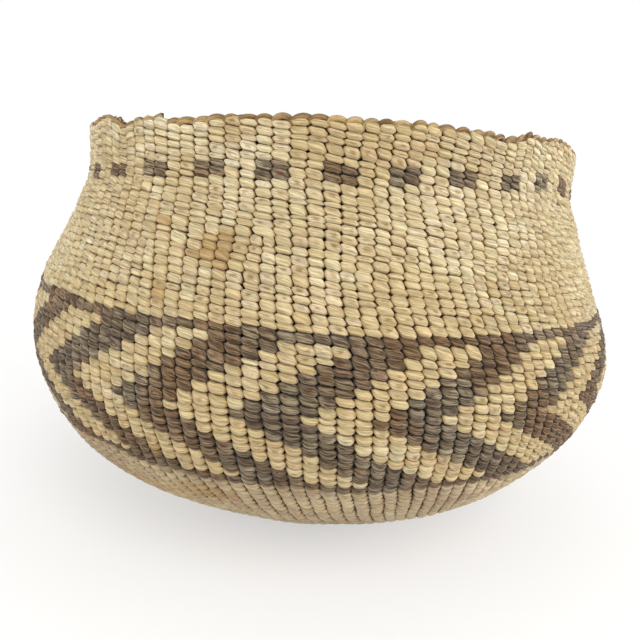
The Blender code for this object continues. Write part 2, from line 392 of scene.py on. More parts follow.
# How far the dash courses lie above their mean line: angle in degrees and rise. Course
# lines are numbered from the rim, and each takes a share of it: number and share.
DASH_RISE = (
    (-120.0, 0.0), (-70.0, -2.0), (-54.0, -1.9), (-43.0, -1.0),
    (-32.0, -1.1), (-20.0, -0.6), (-9.0, 0.0), (23.0, 0.0),
    (34.0, 0.7), (44.0, 1.0), (55.0, 0.6), (90.0, 0.0),
)
DASH_RISE_SHARE = ((0, 0.0), (5, 1.0), (7, 1.0), (24, 0.0))


def line_stray(line, angle):
    """How far a course line strays up or down at an angle."""
    total = np.zeros_like(angle)
    for number, phase, drift in zip(wander_number, wander_phase, wander_drift):
        total = total + np.sin(number * angle + phase + drift * line)
    local = np.interp(angle % FULL_TURN, uneven_angles, uneven[line], period=FULL_TURN)
    dash = graded(DASH_RISE, np.degrees(angle), period=360.0)
    share = graded(DASH_RISE_SHARE, line)
    return WANDER_REACH * total + UNEVEN_REACH * local + share * dash


def is_light(first, number):
    """Whether a stitch of the band is natural: nested chevrons that point left."""
    step = abs(number - TIP_COURSE)
    return (first - step) % CHEVRON_COLUMNS < LIGHT_COLUMNS


def dash_start():
    """Number, among the columns at the dashes, where a dash begins."""
    course = next(c for c in COURSES if c.zone == "dash")
    first, left, right = columns_at(0.5 * (course.low + course.high))
    width = FULL_TURN / len(first)
    want = DASH_ANGLE - 0.5 * DASH_COLUMNS * width
    return int(np.argmin(np.abs(turn_from(want, left))))


DASH_FIRST = dash_start()


def stitch_zone(course, middle, first, index):
    """The zone that a stitch belongs to, by its course and its column."""
    if course.zone == "band":
        return "light_chevron" if is_light(first, course.number) else "dark_chevron"
    if course.zone == "dash":
        dark = (index - DASH_FIRST) % DASH_REPEAT < DASH_COLUMNS
        return "dark_dash" if dark else "collar"
    if course.zone == "shoulder":
        return "upper_shoulder" if course.number < UPPER_COURSES else "lower_shoulder"
    if course.zone == "floor":
        if middle < FLANK_FOOT:
            return "base"
        return "upper_flank" if middle > FLANK_MIDDLE else "lower_flank"
    return course.zone


def lay_stitches():
    """Zone, length, angle, width and height of every stitch, each as one array."""
    rows = []
    for line, course in enumerate(COURSES):
        middle = 0.5 * (course.low + course.high)
        first, left, right = columns_at(middle)
        angle = 0.5 * (left + right)
        width = (right - left) * radius_at(middle)
        low = course.low + line_stray(line + 1, angle)
        high = course.high + line_stray(line, angle)
        zones = [stitch_zone(course, middle, own, index) for index, own in enumerate(first)]
        rows.append((zones, 0.5 * (low + high), angle, width, high - low))
    names = ("zone", "length", "angle", "width", "height")
    return {name: np.concatenate(parts) for name, parts in zip(names, zip(*rows))}


STITCHES = lay_stitches()


# Stitch bodies

# How far a stitch's left end stands above its middle and its right end below, as a share
# of its height, how much of that bends its ends only, and how much less a rope slants
TIP_DROP = 0.36
TIP_BEND = 0.5
ROPE_LEVELLING = 0.3
# Lengths between which the lozenges turn into ropes of rounder, sagging stitches
ROPE_BELOW = 99.0
LOZENGE_ABOVE = 118.0
# Each stitch stands out at its lower edge, over the top of the next one, and less so over
# the last share of each half
LOWER_EDGE_OUT = 0.15
LEVEL_END = 0.5
# Length of a stitch as a share of its column
STITCH_LAP = 1.26
# How far single stitches vary, as shares of their own size
LAP_VARIATION = 0.12
HEIGHT_VARIATION = 0.16
PLUMP_VARIATION = 0.22
DROP_VARIATION = 0.5
BOW_VARIATION = 0.14
ASIDE_VARIATION = 0.08

# Pad form: its cross sections from middle to end, and how round its crown and skirt are
SECTIONS = (0.0, 0.25, 0.52, 0.82, 1.0)
ROUND_ALONG = 0.55
ROUND_ACROSS = 0.5
SKIRT = 0.12
SKIRT_POWER = 6


def form_of(bm, flat):
    """Places, flat places and faces of a template, for copying many times."""
    bmesh.ops.recalc_face_normals(bm, faces=bm.faces)
    bmesh.ops.triangulate(bm, faces=[face for face in bm.faces if len(face.verts) > 4])
    bm.verts.ensure_lookup_table()
    form = {
        "place": np.array([vert.co[:] for vert in bm.verts]),
        "flat": np.array([vert[flat][:2] for vert in bm.verts]),
        "faces": sorted([vert.index for vert in face.verts] for face in bm.faces),
    }
    bm.free()
    return form


def stitch_form(segments, stack, corner, tip, sag, crown_along, crown_across, reach=1.0):
    """A pad with a flat back; along and across run from -1 to 1, and out from 0 to 1.

    Reach and stack stretch it along and across. The half height is full up to the
    corner and falls from there to tip at the end, and less so at the foot of the pad,
    where the strand dives between its neighbours. Sag lowers the middle. The higher a
    crown, the flatter the top and the steeper its ends or sides.
    """
    bm = bmesh.new()
    bmesh.ops.create_grid(bm, x_segments=segments[0], y_segments=segments[1], size=1.0)
    flat = bm.verts.layers.float_vector.new("flat")
    knots = np.linspace(0.0, 1.0, len(SECTIONS))
    for vert in bm.verts:
        a = math.copysign(np.interp(abs(vert.co.x), knots, SECTIONS), vert.co.x)
        b = math.sin(0.5 * math.pi * vert.co.y)
        past = max(0.0, (abs(a) - corner) / (1.0 - corner))
        narrow = 1.0 - (1.0 - tip) * past * (1.0 - SKIRT * abs(b) ** SKIRT_POWER)
        rise = max(0.0, 1.0 - abs(a) ** crown_along) ** ROUND_ALONG
        rise *= max(0.0, 1.0 - abs(b) ** crown_across) ** ROUND_ACROSS
        vert[flat] = Vector((a, b, 0.0))
        vert.co = Vector((reach * a, stack * b * narrow - sag * (1.0 - a**2), rise))
    rim = [edge for edge in bm.edges if edge.is_boundary]
    bmesh.ops.holes_fill(bm, edges=rim, sides=len(rim))
    return form_of(bm, flat)


def cord_form(steps, sides):
    """A capped tube: x and y go round it, and z counts the steps along it."""
    bm = bmesh.new()
    flat = bm.verts.layers.float_vector.new("flat")
    bmesh.ops.create_circle(bm, cap_ends=True, segments=sides, radius=1.0)
    top = bm.faces[:]
    for _ in range(steps):
        grown = bmesh.ops.extrude_face_region(bm, geom=top)
        top = [item for item in grown["geom"] if isinstance(item, bmesh.types.BMFace)]
        moved = [item for item in grown["geom"] if isinstance(item, bmesh.types.BMVert)]
        bmesh.ops.translate(bm, verts=moved, vec=(0.0, 0.0, 1.0))
    for vert in bm.verts:
        round_share = abs(math.atan2(vert.co.y, vert.co.x)) / math.pi
        vert[flat] = Vector((2.0 * vert.co.z / steps - 1.0, 2.0 * round_share - 1.0, 0.0))
    return form_of(bm, flat)


# The part of a stitch's cell in the bake map that it leaves free on each side
CELL_MARGIN = 0.06


def bake_cells(count):
    """A square cell of the bake map for each stitch: column, row and cell size."""
    side = math.ceil(math.sqrt(count))
    number = np.arange(count)
    size = np.full(count, 1.0 / side)
    return np.stack((number % side, number // side, size, size), axis=1)


def mesh_of_copies(name, form, places, tints, inward):
    """One mesh that holds the form once for each row of places.

    Inward turns its faces over, for stitches that stand out into the bowl.
    """
    count, verts = places.shape[:2]
    faces = form["faces"]
    if inward:
        faces = [face[::-1] for face in faces]
    sizes = np.array([len(face) for face in faces])
    corners = np.concatenate([np.array(face) for face in faces])
    starts = np.concatenate(([0], np.cumsum(sizes)[:-1]))
    shift = np.arange(count)[:, None]
    loops = (corners[None, :] + shift * verts).ravel()
    mesh = bpy.data.meshes.new(name)
    mesh.vertices.add(count * verts)
    mesh.vertices.foreach_set("co", places.astype(np.float32).ravel())
    mesh.loops.add(len(loops))
    mesh.loops.foreach_set("vertex_index", loops.astype(np.int32))
    mesh.polygons.add(count * len(faces))
    all_starts = (starts[None, :] + shift * len(corners)).ravel()
    mesh.polygons.foreach_set("loop_start", all_starts.astype(np.int32))
    mesh.polygons.foreach_set("use_smooth", np.ones(count * len(faces), dtype=bool))
    mesh.update(calc_edges=True)
    along = form["flat"][corners] * 0.5 + 0.5
    stitch_map = mesh.uv_layers.new(name="stitch")
    stitch_map.data.foreach_set("uv", np.tile(along, (count, 1)).astype(np.float32).ravel())
    bake_map = mesh.uv_layers.new(name="OFBake")
    inset = CELL_MARGIN + (1.0 - 2.0 * CELL_MARGIN) * along
    cells = bake_cells(count)
    spots = (cells[:, None, :2] + inset[None, :, :]) * cells[:, None, 2:]
    bake_map.data.foreach_set("uv", spots.astype(np.float32).ravel())
    tint = mesh.attributes.new("tint", "FLOAT_COLOR", "POINT")
    tint.data.foreach_set("color", np.repeat(tints, verts, axis=0).astype(np.float32).ravel())
    mesh.validate()
    return mesh


def make_piece(name, mesh, material):
    """An object for a finished mesh, which rides on the bowl's one body."""
    piece = bpy.data.objects.new(name, mesh)
    bpy.context.scene.collection.objects.link(piece)
    mesh.materials.append(material)
    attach(piece, "root")
    return piece


# Wear, stains and tone

# Stains: length and angle in degrees of the middle, reach up and across, and strength.
# Each fades from its middle on, and is gone at the limit, a squared distance in reaches.
STAINS = (
    (133.9, -15.8, 4.6, 4.0, 1.0),
    (155.8, -17.2, 2.6, 4.0, 0.7),
    (138.0, -27.0, 1.3, 1.6, 0.8),
    (124.5, -24.2, 1.8, 1.8, 0.7),
    (132.5, -20.2, 1.6, 1.8, 0.6),
    (91.6, -24.4, 1.6, 2.0, 0.7),
    (80.0, -17.0, 3.0, 9.0, 0.8),
    (76.0, -30.0, 4.0, 12.0, 0.5),
    (76.0, 150.0, 5.0, 8.0, 0.7),
    (128.0, 118.0, 4.0, 5.0, 0.6),
    (141.0, -140.0, 3.0, 6.0, 0.6),
    (62.0, 60.0, 5.0, 7.0, 0.5),
)
STAIN_LIMIT = 1.35
# Small holes where a stitch has worn thin: length and angle in degrees
HOLES = ((128.0, -29.5), (124.8, -3.0), (139.0, 61.0), (126.5, 131.0), (133.0, -122.0))
HOLE_REACH = 0.9
HOLE_THINNING = 0.55
# Tone runs from 0, pale, to 1, deep: its middle, how far stitches vary round that, and
# how far whole areas do
TONE_MIDDLE = 0.45
TONE_VARIATION = 0.6
PATCH_VARIATION = 0.2
# Slow waves of tone over the wall: waves round the bowl, drift along the wall and phase
PATCH_WAVES = ((3.0, 0.11, 0.0), (7.0, -0.17, 1.0), (13.0, 0.31, 4.0))
PATCH_SHARE = 0.4
# How much browner the stitches are: length and shift of tone
BROWNER = (
    (85.0, 0.0), (88.0, 0.65), (103.0, 0.5), (119.5, 0.4), (122.0, 0.35), (134.0, 0.0),
)
# The collar is browner on the right of the front, and a little paler all round: partly its
# own tone, and partly painted light, as its sides are painted paler than its front where
# light wraps round the rim. Lengths where that starts and is whole, reach to the right in
# radians, and the two shifts
BROWN_START = 144.0
BROWN_WHOLE = 154.0
BROWN_REACH = 0.5
BROWN_SHARE = 1.0
PALE_SHARE = 0.25


def away_across(length, angle, degrees):
    """Distance round the wall from an angle in degrees."""
    return turn_from(math.radians(degrees), angle) * radius_at(length)


def worn_thin(length, angle):
    """Share of its height that a stitch keeps, less beside a hole."""
    keep = np.ones_like(length)
    for middle, degrees in HOLES:
        across = away_across(length, angle, degrees)
        away = np.hypot(length - middle, across) / HOLE_REACH
        keep = keep - HOLE_THINNING * np.exp(-(away**2))
    return keep


def stain_at(length, angle):
    """Strength of the rust-brown stains at places on the wall."""
    total = np.zeros_like(length)
    for middle, degrees, up, across, strength in STAINS:
        aside = away_across(length, angle, degrees)
        away = ((length - middle) / up) ** 2 + (aside / across) ** 2
        total = np.maximum(total, strength * np.clip(STAIN_LIMIT - away, 0.0, 1.0))
    return total


def patch_tone(length, angle):
    """Slow change of tone over the wall, about -1 to 1."""
    tone = np.zeros_like(length)
    for waves, drift, phase in PATCH_WAVES:
        tone = tone + np.sin(waves * angle + drift * length + phase)
    return PATCH_SHARE * tone


def stitch_tints(length, angle, shade, browner):
    """Tone, two random values and stain of each stitch, as the materials read them."""
    tone = TONE_MIDDLE + TONE_VARIATION * shade + PATCH_VARIATION * patch_tone(length, angle)
    tone = tone + browner + graded(BROWNER, length)
    # The collar: browner in front and paler all round, partly its own tone and partly painted
    # light that lightens its sides
    in_collar = smooth_step((length - BROWN_START) / (BROWN_WHOLE - BROWN_START))
    right_of_front = np.exp(-((angle / BROWN_REACH) ** 2))
    tone = tone + in_collar * (BROWN_SHARE * right_of_front - PALE_SHARE)
    chance = rng.random((len(length), 2))
    stain = stain_at(length, angle)
    return np.concatenate((tone.clip(0.0, 1.0), chance, stain), axis=1)


def relief_at(length, least):
    """Share of its relief that a stitch keeps, less the further below the band."""
    share = smooth_step((length - FLANK_FOOT) / (BAND_FOOT - FLANK_FOOT))
    return least + (1.0 - least) * share


# What the stitches of one kind share: their forms above and below the turn from lozenge
# to rope, material, depths of root and crest, least relief and slot
Weft = namedtuple("Weft", "forms material root crest relief slot")


def stitch_piece(name, zones, weft, browner):
    """The stitches of some zones as one piece."""
    chosen = np.isin(STITCHES["zone"], zones)
    length, angle, width, height = (
        STITCHES[key][chosen][:, None] for key in ("length", "angle", "width", "height")
    )
    inward = weft.crest > weft.root
    side = -1.0 if inward else 1.0
    loose = rng.random((len(length), 7)) - 0.5
    slope, lap, tall, plump, bent, aside, shade = loose.T[:, :, None]
    half_along = 0.5 * width * (STITCH_LAP + LAP_VARIATION * lap)
    half_across = 0.5 * height * (1.0 + HEIGHT_VARIATION * tall) * worn_thin(length, angle)
    rope = smooth_step((LOZENGE_ABOVE - length) / (LOZENGE_ABOVE - ROPE_BELOW))
    upper, lower = (form["place"].T[:, None, :] for form in weft.forms)
    a, b, c = upper + (lower - upper) * rope

    drop = side * TIP_DROP * height * (1.0 + DROP_VARIATION * slope)
    drop = drop * (1.0 - ROPE_LEVELLING * rope)
    bow = BOW_VARIATION * height * (1.0 - a**2) * bent
    up = b * half_across - drop * ((1.0 - TIP_BEND) * a + TIP_BEND * a**3) + bow
    right = a * half_along + ASIDE_VARIATION * width * aside
    shingle = side * LOWER_EDGE_OUT * b * np.minimum(1.0, (1.0 - abs(a)) / LEVEL_END)
    out = (weft.crest - weft.root) * (1.0 + PLUMP_VARIATION * plump) * c
    depth = weft.root + out + shingle * (c > 0.0)
    depth = weft.crest + (depth - weft.crest) * relief_at(length, weft.relief)
    where = wall(length + up, angle + right / radius_at(length), depth)
    tints = stitch_tints(length, angle, shade, browner)
    mesh = mesh_of_copies(name, weft.forms[0], where, tints, inward)
    return make_piece(name, mesh, weft.material)


def cord_piece(name, paths, diameters, form, material):
    """Cords along paths of equal step counts, each with its own diameter."""
    paths = np.array(paths)
    along = np.gradient(paths, axis=1)
    along /= np.linalg.norm(along, axis=2)[:, :, None]
    # Away from the bowl's axis, and a little down for cords that cross it
    outward = paths.mean(axis=1) * np.array((1.0, 1.0, 0.0)) + np.array((0.0, 0.0, -MM))
    side = np.cross(along, outward[:, None, :])
    side /= np.linalg.norm(side, axis=2)[:, :, None]
    other = np.cross(along, side)
    step = np.rint(form["place"][:, 2]).astype(int)
    reach = 0.5 * MM * np.array(diameters)[:, None, None]
    x = form["place"][None, :, 0:1] * reach
    y = form["place"][None, :, 1:2] * reach
    where = paths[:, step] + side[:, step] * x + other[:, step] * y
    chance = rng.random((len(paths), 3))
    unstained = np.zeros((len(paths), 1))
    tints = np.concatenate((chance, unstained), axis=1)
    mesh = mesh_of_copies(name, form, where, tints, False)
    return make_piece(name, mesh, material)


# Materials

# Settings of the nodes that come up often
SMOOTH = {"interpolation_type": "SMOOTHSTEP"}
TIMES = {"operation": "MULTIPLY"}
LARGER = {"operation": "MAXIMUM"}
BLEND = {"data_type": "RGBA"}
TINT = {"data_type": "RGBA", "blend_type": "MULTIPLY"}

# Limits of the patterns as Map Range takes them: from, to, and the result at each. On a
# stitch, along and across run from 0 in its middle to 0.5 at its ends and edges.
RED_CAST = (0.1, 0.9, 0.965, 1.02)
BLUE_CAST = (0.0, 1.0, 0.93, 1.04)
CLOUD_LIMITS = (0.42, 0.66)
BRUISED_STITCHES = (0.35, 0.95)
BRUISE_ACROSS = (0.06, 0.30, 1.0, 0.0)
BRUISE_ALONG = (0.05, 0.28, 1.0, 0.0)
BRUISE_MOTTLE = (0.36, 0.60, 0.0, 0.9)
FIBRE_LIMITS = (0.34, 0.66)
CRACK_LIMITS = (0.54, 0.66)
GAP_FLANKS = (0.20, 0.34)
GAP_ACROSS = (0.34, 0.46, 0.0, 0.9)
GAP_ALONG = (0.34, 0.45, 0.0, 0.95)
ROUGH_LIMITS = (0.3, 0.7)

# Clouds of another tone are about 17 mm across
CLOUDS_PER_METRE = 60.0
CLOUD_STRENGTH = 0.7
STAIN_COLOUR = "#9C763C"
STAIN_STRENGTH = 0.68
# How far apart in the noise two stitches may take their patterns
SEED_REACH = 61.0
# Shares of a material's strands by which pale fibres brighten and cracks darken
FIBRE_BRIGHT = 0.4
CRACK_STRENGTH = 1.7
# Least share of the shade at an edge, in the middle of the stitch's length
GAP_LEAST = 0.5
# How much rougher than the material the deep fibres are, and how much smoother the pale
ROUGHER = 0.12
SMOOTHER = 0.05
# Fibres stand out by about a seventh of a millimetre
FIBRE_RELIEF = 0.14


def linear(code):
    """Linear colour from an sRGB hex code."""
    shares = np.array([int(code[start:start + 2], 16) for start in (1, 3, 5)]) / 255.0
    curved = ((shares + 0.055) / 1.055) ** 2.4
    return (*np.where(shares <= 0.04045, shares / 12.92, curved), 1.0)


def plug(node, inputs):
    """Give a node its inputs, by name, or in the order of the sockets in use.

    Each takes a value, another node's socket, or a node, for its first output in use.
    """
    if isinstance(inputs, dict):
        pairs = [(node.inputs[name], value) for name, value in inputs.items()]
    else:
        pairs = zip([socket for socket in node.inputs if socket.enabled], inputs)
    for socket, value in pairs:
        if isinstance(value, bpy.types.Node):
            value = next(output for output in value.outputs if output.enabled)
        if isinstance(value, bpy.types.NodeSocket):
            node.id_data.links.new(value, socket)
        else:
            socket.default_value = value


def add(tree, kind, inputs=(), **settings):
    """One node with its settings and inputs."""
    node = tree.nodes.new("ShaderNode" + kind)
    for key, value in settings.items():
        setattr(node, key, value)
    plug(node, inputs)
    return node


def fibre_material(name, pale, deep, patch, centre, gap, strands, grain, rough):
    """Dry plant fibre.

    Each stitch has its own tone between pale and deep. Patch clouds whole areas, centre
    is the brown bruise in the middle of many stitches, and gap the shade where a stitch
    tucks under its neighbours. Strands says how much the fibres show along it, and grain
    how many lie side by side: 10 on a stitch 1.8 mm high are 0.18 mm wide, coarser than
    the real ones so that they show.
    """
    material = bpy.data.materials.new(name)
    material.use_nodes = True
    tree = material.node_tree
    node = partial(add, tree)

    tint = node("Attribute", attribute_name="tint").outputs
    tone, chance, seed = node("SeparateColor", [tint["Color"]]).outputs
    on_x, on_y, _ = node("SeparateXYZ", [node("UVMap", uv_map="stitch")]).outputs
    own_place = node("CombineXYZ", [on_x, on_y, node("Math", [seed, SEED_REACH], **TIMES)])
    along, across = (
        node("Math", [node("Math", [place, 0.5], operation="SUBTRACT")], operation="ABSOLUTE")
        for place in (on_x, on_y)
    )

    def pattern(stretch, detail):
        """Noise: how fast it changes along, across and between stitches, and its detail."""
        stretched = node("VectorMath", [own_place, stretch], **TIMES)
        return node("TexNoise", [stretched, 1.0, detail])

    # Tone of the stitch, with a slight cast of red or blue
    colour = node("Mix", [tone, linear(pale), linear(deep)], **BLEND)
    red = node("MapRange", [seed, *RED_CAST], **SMOOTH)
    blue = node("MapRange", [chance, *BLUE_CAST], **SMOOTH)
    cast = node("CombineColor", [red, 1.0, blue])
    colour = node("Mix", [1.0, colour, cast], **TINT)

    # Clouds over whole areas, and stains
    in_bowl = node("TexCoord").outputs["Object"]
    cloud = node("TexNoise", [in_bowl, CLOUDS_PER_METRE, 3.0])
    cloud = node("MapRange", [cloud, *CLOUD_LIMITS], **SMOOTH)
    cloud = node("Math", [cloud, CLOUD_STRENGTH], **TIMES)
    colour = node("Mix", [cloud, colour, linear(patch)], **BLEND)
    stain = node("Math", [tint["Alpha"], STAIN_STRENGTH], **TIMES)
    colour = node("Mix", [stain, colour, linear(STAIN_COLOUR)], **BLEND)

    # Mottled bruise in the middle of some stitches
    bruise = node("Math", [
        node("MapRange", [across, *BRUISE_ACROSS], **SMOOTH),
        node("MapRange", [along, *BRUISE_ALONG], **SMOOTH),
    ], **TIMES)
    bruised = node("MapRange", [chance, *BRUISED_STITCHES], **SMOOTH)
    bruise = node("Math", [bruise, bruised], **TIMES)
    mottle = node("MapRange", [pattern((2.2, 2.6, 1.0), 1.0), *BRUISE_MOTTLE], **SMOOTH)
    bruise = node("Math", [bruise, mottle], **TIMES)
    colour = node("Mix", [bruise, colour, linear(centre)], **BLEND)

    # Fibres that run along the stitch, pale and deep, with dark cracks between them
    fibre = pattern((0.9, grain, 1.0), 3.0)
    fibre_shades = (1.0 - strands, 1.0 + FIBRE_BRIGHT * strands)
    fibre_tone = node("MapRange", [fibre, *FIBRE_LIMITS, *fibre_shades], **SMOOTH)
    colour = node("Mix", [1.0, colour, fibre_tone], **TINT)
    crack = pattern((2.0, 1.8 * grain, 1.7), 2.0)
    crack = node("MapRange", [crack, *CRACK_LIMITS], **SMOOTH)
    crack = node("Math", [crack, CRACK_STRENGTH * strands], **TIMES)
    colour = node("Mix", [crack, colour, linear(gap)], **BLEND)

    # Shade at the ends, and at the edges, where it is stronger towards the ends
    flank = node("MapRange", [along, *GAP_FLANKS], **SMOOTH)
    flank = node("Math", [flank, GAP_LEAST], **LARGER)
    edge = node("Math", [node("MapRange", [across, *GAP_ACROSS], **SMOOTH), flank], **TIMES)
    edge = node("Math", [edge, node("MapRange", [along, *GAP_ALONG], **SMOOTH)], **LARGER)
    colour = node("Mix", [edge, colour, linear(gap)], **BLEND)

    roughness = [fibre, *ROUGH_LIMITS, rough + ROUGHER, rough - SMOOTHER]
    relief = {"Height": fibre, "Strength": 0.6, "Distance": FIBRE_RELIEF * MM}
    plug(tree.nodes["Principled BSDF"], {
        "Base Color": colour,
        "Roughness": node("MapRange", roughness, **SMOOTH),
        "Normal": node("Bump", relief),
        "Specular IOR Level": 0.15,
        "Sheen Weight": 0.12,
        "Sheen Roughness": 0.45,
    })
    return material


# Split stem as dried on the upper wall: straw yellow with brown centres
STRAW = fibre_material(
    "split_stem_straw", pale="#DACEAE", deep="#BCA77F", patch="#C0AC82", centre="#876C3E",
    gap="#9A7843", strands=0.40, grain=10.0, rough=0.70,
)
# The same stem greyed and rubbed on the underside
WORN = fibre_material(
    "split_stem_worn", pale="#C4B291", deep="#A18C6A", patch="#9C866B", centre="#947658",
    gap="#765F42", strands=0.26, grain=6.0, rough=0.74,
)
# The same stem inside the bowl, browner from what it held
INSIDE = fibre_material(
    "split_stem_inside", pale="#C9B284", deep="#A48856", patch="#927544", centre="#7F5F34",
    gap="#453018", strands=0.26, grain=6.0, rough=0.70,
)
# Stem dyed dark, gone grey-brown and patchy
DYED = fibre_material(
    "dyed_stem_grey_brown", pale="#A3947C", deep="#6C5D4B", patch="#7E5E3E",
    centre="#65442B", gap="#3A2A1A", strands=0.75, grain=9.0, rough=0.72,
)
# Warp ends turned over at the rim, browned by handling
RIM = fibre_material(
    "handled_rim_fibre", pale="#BCA072", deep="#80623D", patch="#90704A", centre="#6A4C2A",
    gap="#4A321A", strands=0.45, grain=5.0, rough=0.70,
)
# Twisted warp fibre, browner and smoother than the weft
WARP = fibre_material(
    "twisted_warp_brown", pale="#CDB07A", deep="#94703F", patch="#A07E4C",
    centre="#6E4E28", gap="#4A3216", strands=0.30, grain=5.0, rough=0.60,
)


# Pieces of weft

# On the upper wall a stitch is a lozenge, round the belly a sagging rope, and flat
# under the floor and inside, where the bowl is rubbed
LOZENGE = stitch_form(
    (8, 4), stack=1.21, corner=0.52, tip=0.03, sag=0.05, crown_along=2.3, crown_across=3.3,
)
ROPE = stitch_form(
    (8, 4), stack=1.12, corner=0.52, tip=0.24, sag=0.27, crown_along=1.7, crown_across=3.4,
    reach=0.93,
)
FLAT = stitch_form(
    (4, 3), stack=1.38, corner=0.62, tip=0.45, sag=0.0, crown_along=3.6, crown_across=4.0,
    reach=1.06,
)
PLAIN = stitch_form(
    (4, 3), stack=1.40, corner=0.62, tip=0.50, sag=0.0, crown_along=3.0, crown_across=3.0,
    reach=1.06,
)

NATURAL = Weft((LOZENGE, ROPE), STRAW, OUTER_ROOT, OUTER_CREST, FULL_RELIEF, "natural_weft")
DARK = Weft((LOZENGE, ROPE), DYED, OUTER_ROOT, OUTER_CREST, FULL_RELIEF, "dark_weft")
RUBBED = Weft((ROPE, ROPE), WORN, WORN_ROOT, WORN_CREST, WORN_RELIEF, "worn_weft")
UNDER = Weft((FLAT, FLAT), WORN, WORN_ROOT, WORN_CREST, WORN_RELIEF, "worn_weft")
INNER = Weft((PLAIN, PLAIN), INSIDE, INNER_ROOT, INNER_CREST, FULL_RELIEF, "natural_weft")

dark_nodes = [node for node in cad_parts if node.startswith("dark_chevron_")]
light_nodes = [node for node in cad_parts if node.startswith("light_chevron_")]

# Name, zones, weft, browner tone and CAD nodes of each piece
PIECES = (
    ("collar_stitches", ["collar"], NATURAL, 0.0,
     ["collar_weft_outside", "dash_course_weft_outside"]),
    ("dark_dash_stitches", ["dark_dash"], DARK, 0.0, []),
    ("upper_shoulder_stitches", ["upper_shoulder"], NATURAL, 0.0, []),
    ("lower_shoulder_stitches", ["lower_shoulder"], NATURAL, 0.0, ["shoulder_weft_outside"]),
    ("dark_border_stitches", ["dark_border"], DARK, -0.1,
     ["dark_border_upper", "dark_border_lower"]),
    ("dark_chevron_stitches", ["dark_chevron"], DARK, -0.2, dark_nodes),
    ("light_chevron_stitches", ["light_chevron"], NATURAL, 0.0, light_nodes),
    ("upper_flank_stitches", ["upper_flank"], RUBBED, 0.0, ["upper_flank_weft_outside"]),
    ("lower_flank_stitches", ["lower_flank"], RUBBED, 0.0, ["lower_flank_weft_outside"]),
    ("base_stitches", ["base"], UNDER, 0.2, ["heel_weft_outside", "base_weft_outside"]),
    ("collar_inside_stitches", ["collar", "dark_dash"], INNER, 0.0, ["collar_weft_inside"]),
    ("shoulder_inside_stitches", ["upper_shoulder", "lower_shoulder"], INNER, 0.0,
     ["shoulder_weft_inside"]),
    ("band_inside_stitches", ["light_chevron", "dark_chevron", "dark_border"], INNER, 0.0,
     ["upper_band_weft_inside", "lower_band_weft_inside"]),
    ("flank_inside_stitches", ["upper_flank", "lower_flank"], INNER, 0.1,
     ["lower_flank_weft_inside", "upper_flank_weft_inside"]),
    ("base_inside_stitches", ["base"], INNER, 0.2,
     ["heel_weft_inside", "base_weft_inside"]),
)
for name, zones, weft, browner, nodes in PIECES:
    piece = stitch_piece(name, zones, weft, browner)
    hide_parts(*nodes)


# Warps and rim loops

WARP_STEPS = 40
WARP_SIDES = 6
# Lengths at which the middle of a warp is looked up
WARP_LOOKS = 80

# The woven crossing at the start: cords each way, their spacing, diameter, half length
# and middle depth, and how far they weave over and under
START_CORDS = 5
START_SPACING = 1.7
START_DIAMETER = 2.0
START_REACH = 7.5
START_DEPTH = 1.75
START_WAVE = 0.5

# One turned-over warp end: share of a column across, rise and depth
LOOP_FORM = np.array((
    (-0.58, -1.2, 1.5),
    (-0.52, -0.6, 1.1),
    (-0.40, 0.0, 0.85),
    (-0.22, 0.26, 0.7),
    (0.00, 0.38, 0.75),
    (0.22, 0.28, 1.0),
    (0.40, 0.02, 1.4),
    (0.52, -0.6, 1.9),
    (0.58, -1.3, 2.4),
))
LOOP_STEPS = 12
LOOP_SIDES = 8
LOOP_DIAMETER = 1.2
# Least diameter as a share, and how far it varies from there
LOOP_THINNEST = 0.85
LOOP_DIAMETER_RANGE = 0.3
# How far single loops vary: width and rise as shares, place across as a share of a
# column, and lift
LOOP_WIDTH_VARIATION = 0.35
LOOP_ASIDE_VARIATION = 0.25
LOOP_RISE_VARIATION = 0.6
LOOP_LIFT_VARIATION = 0.35
# Where the loops lie lower on the rim: angle and reach in degrees, and height
LOOP_RISES = (
    (-34.0, 15.0, -0.7),
)


def resample(points, count):
    """The same path with evenly spaced points."""
    steps = np.linalg.norm(np.diff(points, axis=0), axis=1)
    lengths = np.concatenate(([0.0], np.cumsum(steps)))
    wanted = np.linspace(0.0, lengths[-1], count)
    return np.stack([np.interp(wanted, lengths, points[:, k]) for k in range(3)], axis=1)


def warp_paths():
    """Middle line of every warp, from where it starts or forks up to the rim."""
    found = {index: [] for index in range(BELLY_COLUMNS)}
    for length in np.linspace(FIRST_COURSE_REACH, TOP_LENGTH, WARP_LOOKS):
        first, left, right = columns_at(length)
        for index, angle in zip(first, 0.5 * (left + right)):
            found[index].append((length, angle))
    paths = []
    for places in found.values():
        length, angle = np.array(places).T
        depth = np.full_like(length, WARP_DEPTH)
        paths.append(resample(wall(length, angle, depth), WARP_STEPS + 1))
    return paths


def start_paths():
    """The crossing under the floor: two sets of cords woven over and under."""
    along = np.linspace(-START_REACH, START_REACH, WARP_STEPS + 1)
    woven = abs(along) < 0.5 * START_CORDS * START_SPACING
    paths = []
    for turn in (0, 1):
        for number in range(START_CORDS):
            aside = (number - 0.5 * (START_CORDS - 1)) * START_SPACING
            sign = -1.0 if (number + turn) % 2 else 1.0
            wave = START_WAVE * sign * np.cos(math.pi * along / START_SPACING)
            pair = (along, np.full_like(along, aside))
            x, y = pair if turn else pair[::-1]
            paths.append(np.stack((x, y, START_DEPTH + wave * woven), axis=1) * MM)
    return paths


